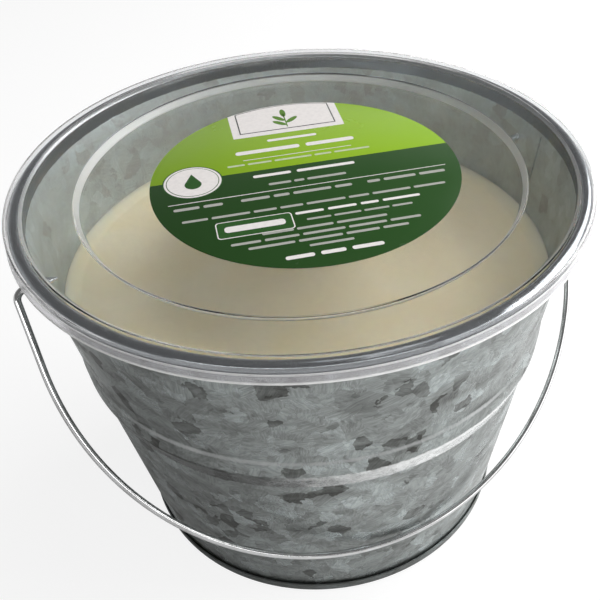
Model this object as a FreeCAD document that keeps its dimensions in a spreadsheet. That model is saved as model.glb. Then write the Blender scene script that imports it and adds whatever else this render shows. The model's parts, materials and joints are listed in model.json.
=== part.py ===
import FreeCAD, Part
import math
import os
import re

import Sketcher
from FreeCAD import Placement, Rotation, Vector

# Citronella candle bucket: a galvanised pail with a wire bail, a wax candle
# and a clear press-on lid. Millimetres, +Z up, origin under the centre of the
# base. The bail turns about X and hangs on the -Y side.

doc = FreeCAD.newDocument("candle_bucket")

# Driving dimensions

SIZES = [
    ("steel", 0.4, "sheet thickness of the wall and the base"),
    ("base_radius", 55.1, "inside of the wall, carried down to the ground"),
    ("mouth_radius", 71.1, "inside of the wall where the rim curl starts"),
    ("rim_height", 108.1, "height where the rim curl starts"),
    ("curl_radius", 1.6, "outside of the rim curl"),
    ("bead_low", 59.2, "lower crease of the bead"),
    ("bead_high", 70.9, "upper edge of the bead"),
    ("bead_slope", 5.2, "height over which the bead rises from below"),
    ("bead_edge", 1.3, "height over which the bead falls back above"),
    ("bead_depth", 1.1, "how far the crest of the bead stands out"),
    ("bead_lip", 0.7, "how far the upper edge of the bead stands out"),
    ("bead_round", 2.8, "rounding of the bead's crest"),
    ("bead_bend", 1.4, "rounding of the bead's creases"),
    ("seam_angle", -9.0, "lock seam, degrees from +X"),
    ("seam_width", 5.0, "width of the lock seam"),
    ("seam_layers", 0.8, "how far the lock seam stands out"),
    ("seam_line", 0.4, "width of the closing line inside"),
    ("seam_line_depth", 0.2, "depth of the closing line inside"),
    ("seam_drop", 3.6, "top of the lock seam below the start of the curl"),
    ("base_height", 4.2, "top of the base disc"),
    ("base_bend", 1.2, "bend at the edge of the base disc"),
    ("hem_height", 3.4, "height of the base hem outside"),
    ("hem_bend", 0.2, "inside bends of the base hem"),
    ("fold_short", 0.2, "how far the wall's folded edge stays below the hem's edge"),
    ("fit_gap", 0.05, "clearance between pieces that touch"),
    ("wax_top", 80.6, "surface of the wax"),
    ("wax_creep", 1.1, "how far the wax climbs at the wall"),
    ("wax_creep_width", 4.0, "width of the climbing edge"),
    ("wick_radius", 1.25, "cotton wick"),
    ("wick_free", 9.0, "wick above the wax"),
    ("tab_radius", 10.0, "metal foot of the wick"),
    ("tab_sheet", 0.3, "thickness of the metal foot"),
    ("tab_collar", 4.0, "height of the collar round the wick"),
    ("lid_sheet", 0.6, "plastic thickness of the lid"),
    ("lid_seat", 0.2, "gap between the curl and the lid"),
    ("lid_side", 0.2, "gap between the curl and the lid's skirt"),
    ("lid_crown", 3.9, "width of the ring over the curl"),
    ("lid_step", 1.0, "shelf below the ring"),
    ("lid_step_run", 0.8, "slope between shelf and ring"),
    ("recess_radius", 58.2, "upper edge of the recess"),
    ("recess_depth", 2.0, "recess below the shelf"),
    ("recess_run", 1.0, "slope of the recess wall"),
    ("skirt_height", 2.3, "upright part of the skirt"),
    ("lip_height", 2.1, "flared lip below it"),
    ("lip_flare", 0.4, "how far the lip stands out"),
    ("lid_round", 0.9, "rounding of the lid's ring"),
    ("lid_bend", 0.8, "rounding of the lid's other bends"),
    ("label_radius", 40.8, "round label"),
    ("label_sheet", 0.15, "thickness of the label"),
    ("label_off_x", 1.6, "label stuck off centre, along X"),
    ("label_off_y", 0.8, "label stuck off centre, along Y"),
    ("wire_radius", 0.9, "bail wire"),
    ("pivot_drop", 8.8, "axis of the bail below the start of the curl"),
    ("pin_gap", 0.08, "clearance of the wire in its holes"),
    ("bail_play", 0.22, "gap between the lid and the bail's upright arms"),
    ("bail_arm", 19.4, "straight part of each arm"),
    ("bail_bend", 2.6, "bend at the top of each arm"),
    ("bail_tail", 3.6, "wire end inside the wall"),
    ("bail_rest", 0.3, "gap between the resting bail and the wall"),
]

sizes = doc.addObject("Spreadsheet::Sheet", "Sizes")
for row, (name, value, note) in enumerate(SIZES, start=1):
    sizes.set(f"A{row}", name)
    sizes.set(f"B{row}", str(value))
    sizes.setAlias(f"B{row}", name)
    sizes.set(f"C{row}", note)
doc.recompute()

NAMES = [name for name, value, note in SIZES]
NAME_PATTERN = re.compile(r"\b(" + "|".join(NAMES) + r")\b")


def sheet_text(text):
    """The same expression with each size looked up in the sheet."""
    return NAME_PATTERN.sub(r"Sizes.\1", text)


def value_of(text):
    """The number that an expression of sizes gives."""
    result = sizes.evalExpression(text)
    return float(getattr(result, "Value", result))


# Derived places, as expressions of the sizes

TAPER = "atan((mouth_radius - base_radius) / rim_height)"
WALL_SIDE = f"(steel / cos({TAPER}))"
CURL_X = f"(mouth_radius + curl_radius * cos({TAPER}))"
CURL_Z = f"(rim_height - curl_radius * sin({TAPER}))"
WALL_FOOT = "(steel + hem_bend)"
FOLD_TOP = "(hem_height - fold_short)"
LID_TOP = f"({CURL_Z} + curl_radius + lid_seat + lid_sheet)"
LID_SIDE = f"({CURL_X} + curl_radius + lid_side + lid_sheet)"
SHELF_TOP = f"({LID_TOP} - lid_step)"
DISC_TOP = f"({SHELF_TOP} - recess_depth)"
SEAM_TOP = "(rim_height - seam_drop)"
PIVOT_Z = "(rim_height - pivot_drop)"
PIVOT_WALL = f"(base_radius + {WALL_SIDE} + {PIVOT_Z} * tan({TAPER}))"
BAIL_HALF = f"({LID_SIDE} + lip_flare + bail_play + wire_radius)"
BAIL_DROP = f"(bail_arm + {BAIL_HALF})"
BAIL_TILT = (f"(asin(({PIVOT_WALL} * cos({TAPER}) + wire_radius + bail_rest)"
             f" / {BAIL_DROP}) - {TAPER})")


def cone(height):
    """Inside radius of the wall at a height, both as expressions."""
    return f"(base_radius + ({height}) * tan({TAPER}))"


def bead_corners(gap="0"):
    """Corners of the bead on the wall's inside, shifted inward by a gap."""
    rise = "bead_low + bead_slope"
    fall = "bead_high - bead_edge"
    return [
        (f"{cone('bead_low')} - {gap}", "bead_low", "bead_bend"),
        (f"{cone(rise)} + bead_depth - {gap}", rise, "bead_round"),
        (f"{cone(fall)} + bead_lip - {gap}", fall, "bead_bend / 2"),
        (f"{cone('bead_high')} - {gap}", "bead_high", "bead_bend"),
    ]


# Sketch helpers


def corner_points(corners, closed):
    """Numbers for each corner: the corner, its tangent points and its arc."""
    spots = [Vector(value_of(x), value_of(z), 0) for x, z, r in corners]
    result = []
    count = len(spots)
    for i, (spot, (x, z, r)) in enumerate(zip(spots, corners)):
        end = not closed and i in (0, count - 1)
        if end or r is None:
            result.append((spot, spot, None))
            continue
        back = (spots[i - 1] - spot).normalize()
        ahead = (spots[(i + 1) % count] - spot).normalize()
        half = back.getAngle(ahead) / 2
        reach = value_of(r) / math.tan(half)
        middle = (back + ahead).normalize()
        far = value_of(r) / math.sin(half)
        top = spot + middle * (far - value_of(r))
        result.append((spot + back * reach, spot + ahead * reach, top))
    return spots, result


def pin_point(sketch, geo, point, x, z):
    """Tie one point of the sketch to two expressions."""
    for kind, text in (("DistanceX", x), ("DistanceY", z)):
        number = value_of(text)
        if abs(number) < 1e-9:
            axis = -2 if kind == "DistanceX" else -1
            sketch.addConstraint(Sketcher.Constraint("PointOnObject", geo, point, axis))
            continue
        index = sketch.addConstraint(Sketcher.Constraint(kind, -1, 1, geo, point, number))
        sketch.setExpression(f"Constraints[{index}]", sheet_text(text))


def draw_chain(sketch, corners, closed=False):
    """Lines through the corners, with a tangent arc at each rounded one."""
    spots, tangents = corner_points(corners, closed)
    count = len(corners)
    pairs = count if closed else count - 1
    lines = []
    for i in range(pairs):
        start = tangents[i][1]
        stop = tangents[(i + 1) % count][0]
        lines.append(sketch.addGeometry(Part.LineSegment(start, stop), False))
    for i, (x, z, r) in enumerate(corners):
        before = lines[i - 1] if closed or i > 0 else None
        after = lines[i] if i < pairs else None
        if tangents[i][2] is None:
            geo, point = (after, 1) if after is not None else (before, 2)
            pin_point(sketch, geo, point, x, z)
            if before is not None and after is not None:
                sketch.addConstraint(Sketcher.Constraint("Coincident", before, 2, after, 1))
            continue
        arc = sketch.addGeometry(Part.Arc(tangents[i][0], tangents[i][2], tangents[i][1]), False)
        mark = sketch.addGeometry(Part.Point(spots[i]), True)
        pin_point(sketch, mark, 1, x, z)
        sketch.addConstraint(Sketcher.Constraint("PointOnObject", mark, 1, before))
        sketch.addConstraint(Sketcher.Constraint("PointOnObject", mark, 1, after))
        arc_start = sketch.getPoint(arc, 1)
        first, last = (1, 2) if arc_start.distanceToPoint(tangents[i][0]) < 1e-6 else (2, 1)
        sketch.addConstraint(Sketcher.Constraint("Tangent", before, 2, arc, first))
        sketch.addConstraint(Sketcher.Constraint("Tangent", arc, last, after, 1))
        index = sketch.addConstraint(Sketcher.Constraint("Radius", arc, value_of(r)))
        sketch.setExpression(f"Constraints[{index}]", sheet_text(r))
    return lines


def upright_sketch(name):
    """A free sketch whose x is the radius and whose y is the height."""
    sketch = doc.addObject("Sketcher::SketchObject", name)
    sketch.Placement = Placement(Vector(), Rotation(Vector(1, 0, 0), 90))
    return sketch


def turned_about_z(name, source, turn="360"):
    """A closed outline turned about Z."""
    turned = doc.addObject("Part::Revolution", name + "_turned")
    turned.Source = source
    turned.Axis = (0, 0, 1)
    turned.Base = (0, 0, 0)
    turned.Solid = True
    turned.setExpression("Angle", sheet_text(turn))
    return turned


def band(name, sketch, thickness, turn="360"):
    """Sheet of one thickness on one side of the line, turned about Z."""
    strip = doc.addObject("Part::Offset2D", name + "_strip")
    strip.Source = sketch
    strip.Mode = "Skin"
    strip.Fill = True
    strip.Join = "Intersection"
    strip.Value = value_of(thickness)
    strip.setExpression("Value", sheet_text(thickness))
    return turned_about_z(name, strip, turn)


def body_sketch(body, name, plane="XZ_Plane"):
    """A sketch of a body, on one of the body's own origin planes."""
    sketch = body.newObject("Sketcher::SketchObject", name)
    face = next(f for f in body.Origin.OriginFeatures if f.Role == plane)
    sketch.AttachmentSupport = [(face, "")]
    sketch.MapMode = "FlatFace"
    return sketch


def turned_body(name, corners):
    """A body turned about Z from a closed outline."""
    body = doc.addObject("PartDesign::Body", name)
    sketch = body_sketch(body, name + "_outline")
    draw_chain(sketch, corners, closed=True)
    doc.recompute()
    turned = body.newObject("PartDesign::Revolution", name + "_turned")
    turned.Profile = sketch
    turned.ReferenceAxis = (sketch, ["V_Axis"])
    turned.Angle = 360
    doc.recompute()
    return body


def round_body(name, radius, bottom, top):
    """A body padded up from a circle about Z."""
    body = doc.addObject("PartDesign::Body", name)
    sketch = body_sketch(body, name + "_circle", "XY_Plane")
    circle = sketch.addGeometry(Part.Circle(Vector(), Vector(0, 0, 1), value_of(radius)), False)
    sketch.addConstraint(Sketcher.Constraint("Coincident", circle, 3, -1, 1))
    index = sketch.addConstraint(Sketcher.Constraint("Radius", circle, value_of(radius)))
    sketch.setExpression(f"Constraints[{index}]", sheet_text(radius))
    sketch.setExpression("AttachmentOffset.Base.z", sheet_text(bottom))
    doc.recompute()
    pad = body.newObject("PartDesign::Pad", name + "_pad")
    pad.Profile = sketch
    pad.setExpression("Length", sheet_text(f"{top} - {bottom}"))
    doc.recompute()
    return body


def joined(name, base, tool):
    """One piece made of two solids."""
    result = doc.addObject("Part::Fuse", name)
    result.Base = base
    result.Tool = tool
    result.Refine = True
    return result


def cut(name, base, tool):
    """A piece with another solid taken away."""
    result = doc.addObject("Part::Cut", name)
    result.Base = base
    result.Tool = tool
    return result


# Wall of the bucket


def wall_sheet():
    """Tapered wall with its bead and the curl at the mouth."""
    sketch = upright_sketch("wall_line")
    corners = [(cone(WALL_FOOT), WALL_FOOT, None)]
    corners += bead_corners()
    corners += [("mouth_radius", "rim_height", None)]
    lines = draw_chain(sketch, corners)
    centre = Vector(value_of(CURL_X), value_of(CURL_Z), 0)
    circle = Part.Circle(centre, Vector(0, 0, 1), value_of("curl_radius"))
    start = math.radians(-90)
    stop = math.radians(180 - value_of(TAPER))
    curl = sketch.addGeometry(Part.ArcOfCircle(circle, start, stop), False)
    sketch.addConstraint(Sketcher.Constraint("Tangent", lines[-1], 2, curl, 2))
    index = sketch.addConstraint(Sketcher.Constraint("Radius", curl, value_of("curl_radius")))
    sketch.setExpression(f"Constraints[{index}]", sheet_text("curl_radius"))
    sketch.addConstraint(Sketcher.Constraint("Vertical", curl, 1, curl, 3))
    return band("wall", sketch, "-steel")


def folded_edge():
    """Second layer of sheet where the lower edge is folded for the seam."""
    sketch = upright_sketch("fold_outline")
    draw_chain(sketch, [
        (cone(WALL_FOOT), WALL_FOOT, None),
        (f"{cone(WALL_FOOT)} + 2 * {WALL_SIDE}", WALL_FOOT, None),
        (f"{cone(FOLD_TOP)} + 2 * {WALL_SIDE}", FOLD_TOP, None),
        (cone(FOLD_TOP), FOLD_TOP, None),
    ], closed=True)
    return turned_about_z("fold", sketch)


def seam_band(name, thickness, width):
    """Upright strip along the lock seam, between the hem and the curl."""
    sketch = upright_sketch(name + "_line")
    low = "(hem_height + steel)"
    corners = [(cone(low), low, None)] + bead_corners() + [(cone(SEAM_TOP), SEAM_TOP, None)]
    draw_chain(sketch, corners)
    turn = f"({width}) / mouth_radius * 180 / pi"
    strip = band(name, sketch, thickness, turn)
    strip.setExpression("Placement.Rotation.Angle", sheet_text(f"seam_angle - {turn} / 2"))
    return strip


def bucket_wall():
    sheet = joined("wall_and_fold", wall_sheet(), folded_edge())
    sheet = joined("wall_and_seam", sheet, seam_band("seam", "-(steel + seam_layers)", "seam_width"))
    sheet = cut("wall_with_line", sheet, seam_band("closing", "-seam_line_depth", "seam_line"))
    drill = doc.addObject("Part::Cylinder", "pivot_drill")
    drill.setExpression("Radius", sheet_text("wire_radius + pin_gap"))
    drill.setExpression("Height", sheet_text("4 * mouth_radius"))
    drill.Placement = Placement(Vector(), Rotation(Vector(0, 1, 0), 90))
    drill.setExpression("Placement.Base.x", sheet_text("-2 * mouth_radius"))
    drill.setExpression("Placement.Base.z", sheet_text(PIVOT_Z))
    return cut("bucket_wall", sheet, drill)


# Base of the bucket


def bucket_base():
    """Recessed disc whose edge wraps the wall's folded foot."""
    sketch = upright_sketch("base_line")
    inside = f"{cone('base_height')} - fit_gap"
    outside = f"2 * {WALL_SIDE} + fit_gap"
    draw_chain(sketch, [
        ("0", "base_height", None),
        (inside, "base_height", "base_bend"),
        (f"{cone('steel')} - fit_gap", "steel", "hem_bend"),
        (f"{cone('steel')} + {outside}", "steel", "hem_bend"),
        (f"{cone('hem_height')} + {outside}", "hem_height", None),
    ])
    return band("bucket_base", sketch, "-steel")


# Candle: wax, wick and the wick's metal foot

TAB_BORE = "(wick_radius + fit_gap)"
TAB_SIDE = f"({TAB_BORE} + tab_sheet)"
TAB_TOP = "(base_height + tab_sheet)"
COLLAR_TOP = "(base_height + tab_collar)"


def wick_tab():
    return turned_body("wick_tab", [
        (TAB_BORE, "base_height", None),
        ("tab_radius", "base_height", None),
        ("tab_radius", TAB_TOP, None),
        (TAB_SIDE, TAB_TOP, "tab_sheet"),
        (TAB_SIDE, COLLAR_TOP, None),
        (TAB_BORE, COLLAR_TOP, None),
    ])


def wick():
    return round_body("wick", "wick_radius", "base_height", "(wax_top + wick_free)")


def wax_fill():
    """Wax filling the bucket, and climbing a little where it meets the wall."""
    edge_top = "(wax_top + wax_creep)"
    corners = [
        (f"{TAB_SIDE} + fit_gap", f"{TAB_TOP} + fit_gap", "tab_sheet"),
        ("tab_radius + fit_gap", f"{TAB_TOP} + fit_gap", None),
        ("tab_radius + fit_gap", "base_height", None),
        (f"{cone('base_height')} - fit_gap", "base_height", None),
    ]
    corners += bead_corners("fit_gap")
    corners += [
        (f"{cone(edge_top)} - fit_gap", edge_top, None),
        (f"{cone('wax_top')} - wax_creep_width", "wax_top", "wax_creep_width"),
        (TAB_BORE, "wax_top", None),
        (TAB_BORE, f"{COLLAR_TOP} + fit_gap", None),
        (f"{TAB_SIDE} + fit_gap", f"{COLLAR_TOP} + fit_gap", None),
    ]
    return turned_body("wax_fill", corners)


# Lid and its label


def lid():
    """Thin clear lid: recessed disc, shelf, ring over the curl and skirt."""
    sketch = upright_sketch("lid_line")
    crown = f"{LID_SIDE} - lid_crown"
    draw_chain(sketch, [
        ("0", DISC_TOP, None),
        ("recess_radius - recess_run", DISC_TOP, "lid_bend"),
        ("recess_radius", SHELF_TOP, "lid_bend"),
        (f"{crown} - lid_step_run", SHELF_TOP, "lid_bend"),
        (crown, LID_TOP, "lid_bend"),
        (LID_SIDE, LID_TOP, "lid_round"),
        (LID_SIDE, f"{LID_TOP} - skirt_height", "lid_bend"),
        (f"{LID_SIDE} + lip_flare", f"{LID_TOP} - skirt_height - lip_height", None),
    ])
    return band("lid", sketch, "-lid_sheet")


def lid_label():
    body = round_body("lid_label", "label_radius", DISC_TOP, f"({DISC_TOP} + label_sheet)")
    body.setExpression("Placement.Base.x", sheet_text("label_off_x"))
    body.setExpression("Placement.Base.y", sheet_text("label_off_y"))
    return body


# Bail


def bail_handle():
    """One bent wire: two tails in the wall, two arms and a half circle."""
    body = doc.addObject("PartDesign::Body", "bail_handle")
    path = body_sketch(body, "bail_path")
    tail = f"({cone(PIVOT_Z)} - bail_tail)"
    half = value_of(BAIL_HALF)
    arm = value_of("bail_arm")
    left = draw_chain(path, [
        (f"-{tail}", "0", None),
        (f"-{BAIL_HALF}", "0", "bail_bend"),
        (f"-{BAIL_HALF}", "-bail_arm", None),
    ])
    right = draw_chain(path, [
        (BAIL_HALF, "-bail_arm", None),
        (BAIL_HALF, "0", "bail_bend"),
        (tail, "0", None),
    ])
    circle = Part.Circle(Vector(0, -arm, 0), Vector(0, 0, 1), half)
    bow = path.addGeometry(Part.ArcOfCircle(circle, math.pi, 2 * math.pi), False)
    path.addConstraint(Sketcher.Constraint("Tangent", left[-1], 2, bow, 1))
    path.addConstraint(Sketcher.Constraint("Coincident", bow, 2, right[0], 1))
    doc.recompute()
    section = body_sketch(body, "bail_section", "YZ_Plane")
    ring = section.addGeometry(Part.Circle(Vector(), Vector(0, 0, 1), value_of("wire_radius")), False)
    section.addConstraint(Sketcher.Constraint("Coincident", ring, 3, -1, 1))
    index = section.addConstraint(Sketcher.Constraint("Radius", ring, value_of("wire_radius")))
    section.setExpression(f"Constraints[{index}]", sheet_text("wire_radius"))
    section.setExpression("AttachmentOffset.Base.z", sheet_text(f"-{tail}"))
    doc.recompute()
    pipe = body.newObject("PartDesign::AdditivePipe", "bail_wire")
    pipe.Profile = section
    pipe.Spine = path
    body.Placement = Placement(Vector(), Rotation(Vector(-1, 0, 0), 1))
    body.setExpression("Placement.Rotation.Angle", sheet_text(BAIL_TILT))
    body.setExpression("Placement.Base.z", sheet_text(PIVOT_Z))
    doc.recompute()
    return body


pieces = {
    "bucket_wall": bucket_wall(),
    "bucket_base": bucket_base(),
    "wick_tab": wick_tab(),
    "wick": wick(),
    "wax_fill": wax_fill(),
    "lid": lid(),
    "lid_label": lid_label(),
    "bail_handle": bail_handle(),
}
for name, piece in pieces.items():
    piece.Label = name
doc.recompute()

# Checks and export

failed = [item.Name for item in doc.Objects if {"Invalid", "Error"} & set(item.State)]
for name, piece in pieces.items():
    shape = piece.Shape
    if shape.isNull() or not shape.isValid() or len(shape.Solids) != 1:
        failed.append(name)
if failed:
    raise RuntimeError("failed: " + ", ".join(failed))

os.makedirs("parts", exist_ok=True)
for name, piece in pieces.items():
    piece.Shape.exportStep(f"parts/{name}.step")
    print(f"{name}: {piece.Shape.Volume / 1000:.2f} cm3")
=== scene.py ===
import json
import math

import bpy
from bpy.props import FloatProperty, FloatVectorProperty, IntProperty, PointerProperty
from mathutils import Matrix, Vector


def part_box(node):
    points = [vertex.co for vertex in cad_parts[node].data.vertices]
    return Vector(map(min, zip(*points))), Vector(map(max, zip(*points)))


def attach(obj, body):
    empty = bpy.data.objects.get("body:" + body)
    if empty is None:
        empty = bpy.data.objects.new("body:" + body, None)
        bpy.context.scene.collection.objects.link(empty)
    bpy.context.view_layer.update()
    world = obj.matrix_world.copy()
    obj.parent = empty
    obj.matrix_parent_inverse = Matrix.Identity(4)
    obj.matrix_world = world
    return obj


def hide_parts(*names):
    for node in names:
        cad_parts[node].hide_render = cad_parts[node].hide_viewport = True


bl_info = {
    "name": "Candle bucket",
    "version": (1, 0, 0),
    "blender": (4, 5, 0),
    "location": "3D View > Sidebar > Candle bucket",
    "description": "Builds a galvanised candle bucket with its wax, lid, label and bail",
    "category": "Add Mesh",
}

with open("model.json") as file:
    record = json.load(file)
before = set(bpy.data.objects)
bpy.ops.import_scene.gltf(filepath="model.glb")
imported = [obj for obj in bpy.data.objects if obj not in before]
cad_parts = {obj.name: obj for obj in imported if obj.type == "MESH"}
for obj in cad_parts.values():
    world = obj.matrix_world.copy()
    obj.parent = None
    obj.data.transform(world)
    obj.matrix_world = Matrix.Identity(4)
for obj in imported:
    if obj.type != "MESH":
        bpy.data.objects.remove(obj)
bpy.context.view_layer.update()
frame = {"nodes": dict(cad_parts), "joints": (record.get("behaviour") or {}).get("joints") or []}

MM = 0.001
TURN = 2 * math.pi


def cad_low(node):
    """Lowest corner of a CAD node's box."""
    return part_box(node)[0]


def cad_high(node):
    """Highest corner of a CAD node's box."""
    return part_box(node)[1]


PIVOT = Vector(next(
    joint for joint in frame["joints"] if joint["name"] == "bail_swing")["pos_m"])
LABEL_MIDDLE = (cad_low("lid_label") + cad_high("lid_label")) / 2


# Settings


def length(name, millimetres, description):
    """A length, given in millimetres."""
    return FloatProperty(name=name, description=description, default=millimetres * MM,
                         unit="LENGTH", precision=5)


def angle(name, degrees, description):
    """An angle, given in degrees."""
    return FloatProperty(name=name, description=description, default=math.radians(degrees),
                         subtype="ANGLE")


def tone(name, value, description):
    """A colour of a finish."""
    return FloatVectorProperty(name=name, description=description, default=value,
                               subtype="COLOR", size=3, min=0, max=1)


class BucketSizes(bpy.types.PropertyGroup):
    """Sizes of the sheet metal wall and base."""

    sheet: length("Sheet", 0.4, "Thickness of the wall and the base")
    base_radius: length("Base radius", 55.1, "Inside of the wall, carried down to the ground")
    mouth_radius: length("Mouth radius", 71.1, "Inside of the wall where the rim curl starts")
    rim_height: length("Rim height", 108.1, "Height where the rim curl starts")
    curl_radius: length("Curl radius", 1.6, "Outside radius of the rim curl")
    bead_low: length("Bead bottom", 59.2, "Lower crease of the bead")
    bead_high: length("Bead top", 70.9, "Upper edge of the bead")
    bead_slope: length("Bead slope", 5.2, "Height over which the bead rises from below")
    bead_edge: length("Bead edge", 1.3, "Height over which the bead falls back above")
    bead_depth: length("Bead depth", 1.1, "How far the bead stands out")
    bead_lip: length("Bead lip", 0.7, "How far the bead's upper edge stands out")
    bead_round: length("Bead rounding", 2.8, "Rounding of the bead's crest")
    bead_bend: length("Bead creases", 1.4, "Rounding of the bead's creases")
    seam_angle: angle("Seam angle", -9, "Place of the lock seam round the wall")
    seam_width: length("Seam width", 5.0, "Width of the lock seam")
    seam_layers: length("Seam layers", 0.8, "How far the lock seam stands out")
    seam_drop: length("Seam drop", 3.6, "Top of the lock seam below the rim curl")
    base_height: length("Base height", 4.2, "Top of the recessed base disc")
    hem_height: length("Hem height", 3.4, "Height of the base hem outside")
    hole_play: length("Hole clearance", 0.08, "Gap between the bail wire and its hole")
    steps: IntProperty(
        name="Steps", description="Facets round the bucket", default=240, min=48)


class CandleSizes(bpy.types.PropertyGroup):
    """Sizes of the wax and its wick."""

    wax_top: length("Wax level", 80.6, "Height of the wax surface")
    creep: length("Wax creep", 1.1, "How far the wax climbs at the wall")
    creep_width: length("Creep width", 4.0, "Width of the climbing edge")
    gap: length("Fit gap", 0.05, "Gap between the wax and what it touches")
    wick_radius: length("Wick radius", 1.25, "Outside of the twisted wick")
    wick_twist: length("Wick twist", 7.0, "Height in which a strand goes round once")


class LidSizes(bpy.types.PropertyGroup):
    """Sizes of the clear lid."""

    sheet: length("Sheet", 0.6, "Thickness of the plastic")
    side: length("Lid radius", 75.0828, "Outside of the lid's ring")
    crown: length("Crown width", 3.9, "Width of the ring over the rim curl")
    step: length("Step", 1.0, "Shelf below the ring")
    step_run: length("Step run", 0.8, "Slope between shelf and ring")
    recess_radius: length("Recess radius", 58.2, "Upper edge of the recess")
    recess_depth: length("Recess depth", 2.0, "Recess below the shelf")
    recess_run: length("Recess run", 1.0, "Slope of the recess wall")
    skirt: length("Skirt", 2.3, "Upright part of the skirt")
    lip: length("Lip", 2.1, "Height of the flared lip")
    flare: length("Flare", 0.4, "How far the lip stands out")
    bend: length("Bend", 0.8, "Rounding of the lid's bends")


class LabelSizes(bpy.types.PropertyGroup):
    """Sizes of the round label and its print."""

    radius: length("Label radius", 40.8, "Radius of the round label")
    turn: angle("Print turn", -14.2, "How far the print is turned on the lid")
    split: length("Colour split", 5.3, "Where the two greens meet, above the middle")
    ink: length("Ink height", 0.015, "How far each printed layer stands above the last")


class BailSizes(bpy.types.PropertyGroup):
    """Sizes of the wire bail."""

    wire_radius: length("Wire radius", 0.9, "Radius of the bail wire")
    arm: length("Arm", 19.4, "Straight part of each arm")
    bend: length("Bend", 2.6, "Bend at the top of each arm")
    tail: length("Tail", 3.6, "Wire end inside the wall")
    nip: length("Nipped end", 1.8, "Length of the end that the cutter pinched")


class Finishes(bpy.types.PropertyGroup):
    """Colours of the finishes."""

    zinc: tone("Zinc", (0.265, 0.283, 0.276), "Middle tone of the galvanised sheet")
    wax: tone("Wax", (0.78, 0.705, 0.505), "Candle wax")
    light_green: tone("Light green", (0.275, 0.475, 0.012), "Upper field of the label")
    dark_green: tone("Dark green", (0.023, 0.074, 0.016), "Lower field of the label")
    paper: tone("White print", (0.93, 0.89, 0.87), "Light fields and marks of the label")


class CandleBucket(bpy.types.PropertyGroup):
    """All settings of the candle bucket."""

    bucket: PointerProperty(type=BucketSizes)
    candle: PointerProperty(type=CandleSizes)
    lid: PointerProperty(type=LidSizes)
    label: PointerProperty(type=LabelSizes)
    bail: PointerProperty(type=BailSizes)
    finish: PointerProperty(type=Finishes)


# Outlines


def round_off(corners, steps=6):
    """Points of a line through the corners, each with its own rounding."""
    points = []
    for index, (x, z, rounding) in enumerate(corners):
        spot = Vector((x, z))
        if not rounding or index in (0, len(corners) - 1):
            points.append(spot)
            continue
        back = (Vector(corners[index - 1][:2]) - spot).normalized()
        ahead = (Vector(corners[index + 1][:2]) - spot).normalized()
        half = back.angle(ahead) / 2
        middle = spot + (back + ahead).normalized() * rounding / math.sin(half)
        first = spot + back * rounding / math.tan(half) - middle
        last = spot + ahead * rounding / math.tan(half) - middle
        sweep = first.angle_signed(last)
        for step in range(steps + 1):
            turned = first.copy()
            turned.rotate(Matrix.Rotation(-sweep * step / steps, 2))
            points.append(middle + turned)
    return points


def offset_line(points, distance):
    """The same line moved sideways, to the right of its run."""
    moved = []
    for index, spot in enumerate(points):
        before = points[max(index - 1, 0)]
        after = points[min(index + 1, len(points) - 1)]
        along = (after - before).normalized()
        moved.append(spot + Vector((along.y, -along.x)) * distance)
    return moved


def sheet_outline(corners, sheet):
    """Outline of a round sheet, from its middle out along one face and back on the other."""
    line = round_off(corners)
    outline = line + offset_line(line, sheet)[::-1]
    outline[-1].x = 0
    return outline


def wall_radius(sizes, height):
    """Inside radius of the tapered wall at a height."""
    rise = (sizes.mouth_radius - sizes.base_radius) / sizes.rim_height
    return sizes.base_radius + height * rise


def wall_taper(sizes):
    """Lean of the wall from upright."""
    return math.atan2(sizes.mouth_radius - sizes.base_radius, sizes.rim_height)


def bead_corners(sizes, gap=0.0):
    """Corners of the bead on the wall's inside."""
    rise = sizes.bead_low + sizes.bead_slope
    fall = sizes.bead_high - sizes.bead_edge
    return [
        (wall_radius(sizes, sizes.bead_low) - gap, sizes.bead_low, sizes.bead_bend),
        (wall_radius(sizes, rise) + sizes.bead_depth - gap, rise, sizes.bead_round),
        (wall_radius(sizes, fall) + sizes.bead_lip - gap, fall, sizes.bead_bend / 2),
        (wall_radius(sizes, sizes.bead_high) - gap, sizes.bead_high, sizes.bead_bend),
    ]


def wall_line(sizes, foot, heights):
    """The wall's inside from its foot over the bead and on through some heights."""
    corners = [(wall_radius(sizes, foot), foot, 0)]
    corners += bead_corners(sizes)
    corners += [(wall_radius(sizes, height), height, 0) for height in heights]
    return round_off(corners)


# Modelling steps


def deselect():
    """Nothing selected, in object mode."""
    if bpy.context.mode != "OBJECT":
        leave_edit()
    bpy.ops.object.select_all(action="DESELECT")


def pick(piece, others=()):
    """Only these pieces selected, with the first one active."""
    deselect()
    for chosen in (*others, piece):
        chosen.select_set(True)
    bpy.context.view_layer.objects.active = piece


def edit_all():
    """Edit mode with everything selected."""
    bpy.ops.object.mode_set(mode="EDIT")
    bpy.ops.mesh.select_all(action="SELECT")


def leave_edit():
    """Back to object mode."""
    bpy.ops.object.mode_set(mode="OBJECT")


def close_mesh():
    """Turns the normals outward and leaves edit mode."""
    bpy.ops.mesh.select_all(action="SELECT")
    bpy.ops.mesh.normals_make_consistent(inside=False)
    leave_edit()


def extrude(step):
    """Extrudes what is selected by a step."""
    bpy.ops.mesh.extrude_region_move(TRANSFORM_OT_translate={"value": step})


def turn_selected(turn, axis="Z"):
    """Turns what is selected about the origin, with the sign as it is taken without a window."""
    bpy.ops.transform.rotate(value=-turn if bpy.app.background else turn, orient_axis=axis,
                             center_override=(0, 0, 0))


def settled(piece, scale=(1, 1, 1)):
    """The new piece with its place, turn and scale worked into the mesh."""
    piece.scale = scale
    bpy.ops.object.transform_apply(location=True, rotation=True, scale=True)
    return piece


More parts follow.
